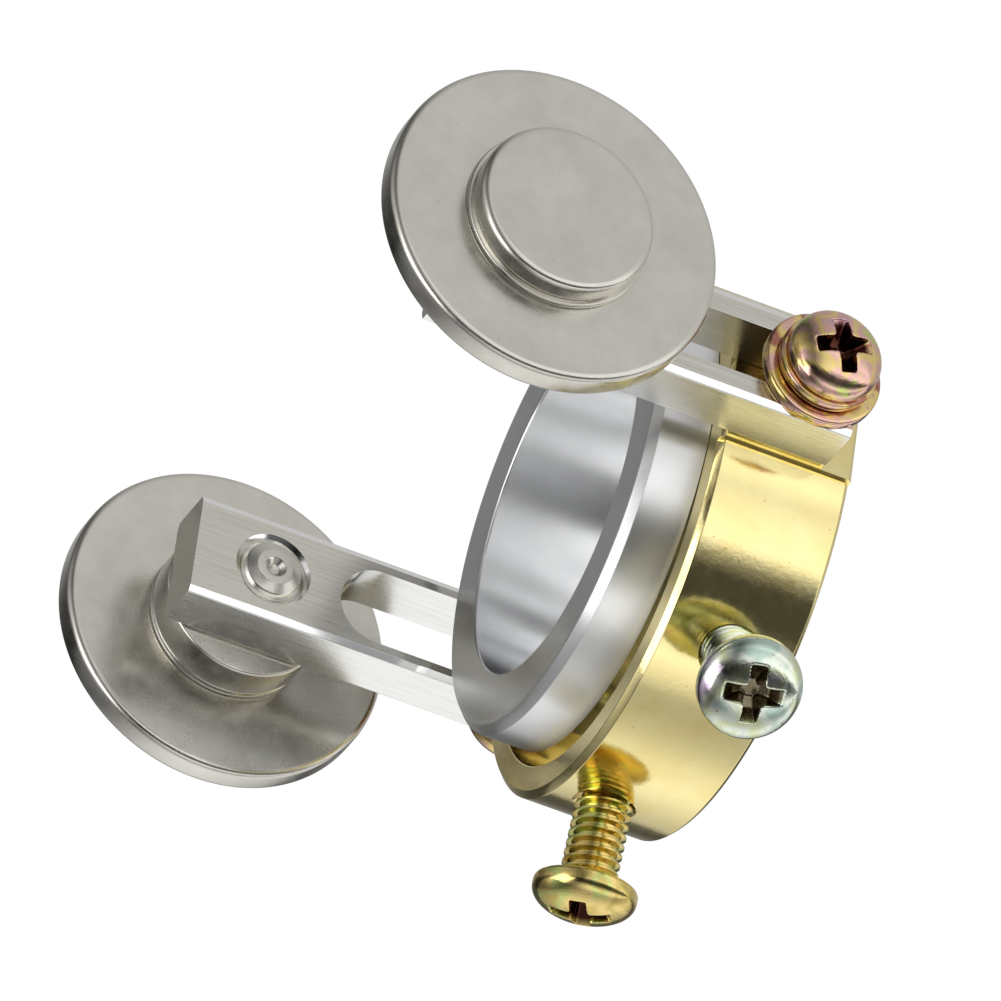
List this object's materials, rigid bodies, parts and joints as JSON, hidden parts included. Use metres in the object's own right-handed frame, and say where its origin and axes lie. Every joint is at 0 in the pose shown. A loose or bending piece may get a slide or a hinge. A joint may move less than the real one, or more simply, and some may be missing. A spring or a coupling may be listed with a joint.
{
  "type": "torch roller guide",
  "caption": "Roller guide for a hand cutting torch: a brass clamp ring round an aluminium sleeve carries slotted arms that set the height of its side wheels.",
  "frame": {"origin": "on the torch bore's axis, in the plane of the clamp ring's rear face", "axes": "+Z along the torch bore towards the wheels; +X from the bore axis towards arm 1, along the wheels' axes; +Y square to both, away from the clamp screws"},
  "size_m": [0.0628, 0.0456, 0.0396],
  "materials": {
    "brass": "turned, lightly polished",
    "aluminium": "turned; front face matt, outside bright",
    "nickel": "satin nickel plate on steel",
    "zinc": "iridescent yellow zinc plate on steel"
  },
  "bodies": {
    "sleeve": {"inner_sleeve": "aluminium"},
    "ring": {"clamp_ring": "brass"},
    "arm_1": {"arm_1": "nickel", "axle_pin_1": "nickel", "spacer_collar_1": "nickel", "thrust_washer_1": "nickel"},
    "wheel_1": {"wheel_1": "nickel"},
    "arm_screw_1": {"arm_screw_1": "zinc", "spring_washer_1": "zinc", "flat_washer_1": "zinc"},
    "clamp_screw_1": {"clamp_screw_1": "zinc"},
    "arm_2": {"arm_2": "nickel", "axle_pin_2": "nickel", "spacer_collar_2": "nickel", "thrust_washer_2": "nickel"},
    "wheel_2": {"wheel_2": "nickel"},
    "arm_screw_2": {"arm_screw_2": "zinc", "spring_washer_2": "zinc", "flat_washer_2": "zinc"},
    "clamp_screw_2": {"clamp_screw_2": "zinc"}
  },
  "joints": [
    {"name": "ring_swivel", "type": "hinge", "parent": "sleeve", "child": "ring", "pos_m": [0, 0, 0], "axis": [0, 0, 1], "continuous": true},
    {"name": "arm_1_slide", "type": "slide", "parent": "ring", "child": "arm_1", "axis": [0, 0, 1], "range_m": [-0.006, 0]},
    {"name": "wheel_1_spin", "type": "hinge", "parent": "arm_1", "child": "wheel_1", "pos_m": [0.028, 0, 0.0276], "axis": [1, 0, 0], "continuous": true},
    {"name": "arm_screw_1_turn", "type": "hinge", "parent": "ring", "child": "arm_screw_1", "pos_m": [0.026, 0, 0.0052], "axis": [1, 0, 0], "continuous": true},
    {"name": "clamp_screw_1_travel", "type": "slide", "parent": "ring", "child": "clamp_screw_1", "axis": [0.6388, -0.7694, 0], "range_m": [-0.0013, 0.0012]},
    {"name": "arm_2_slide", "type": "slide", "parent": "ring", "child": "arm_2", "axis": [0, 0, 1], "range_m": [-0.005, 0.0009]},
    {"name": "wheel_2_spin", "type": "hinge", "parent": "arm_2", "child": "wheel_2", "pos_m": [-0.028, 0, 0.02665], "axis": [1, 0, 0], "continuous": true},
    {"name": "arm_screw_2_turn", "type": "hinge", "parent": "ring", "child": "arm_screw_2", "pos_m": [-0.026, 0, 0.0052], "axis": [1, 0, 0], "continuous": true},
    {"name": "clamp_screw_2_travel", "type": "slide", "parent": "ring", "child": "clamp_screw_2", "axis": [-0.2215, -0.9751, 0], "range_m": [-0.0016, 0.0012]}
  ]
}
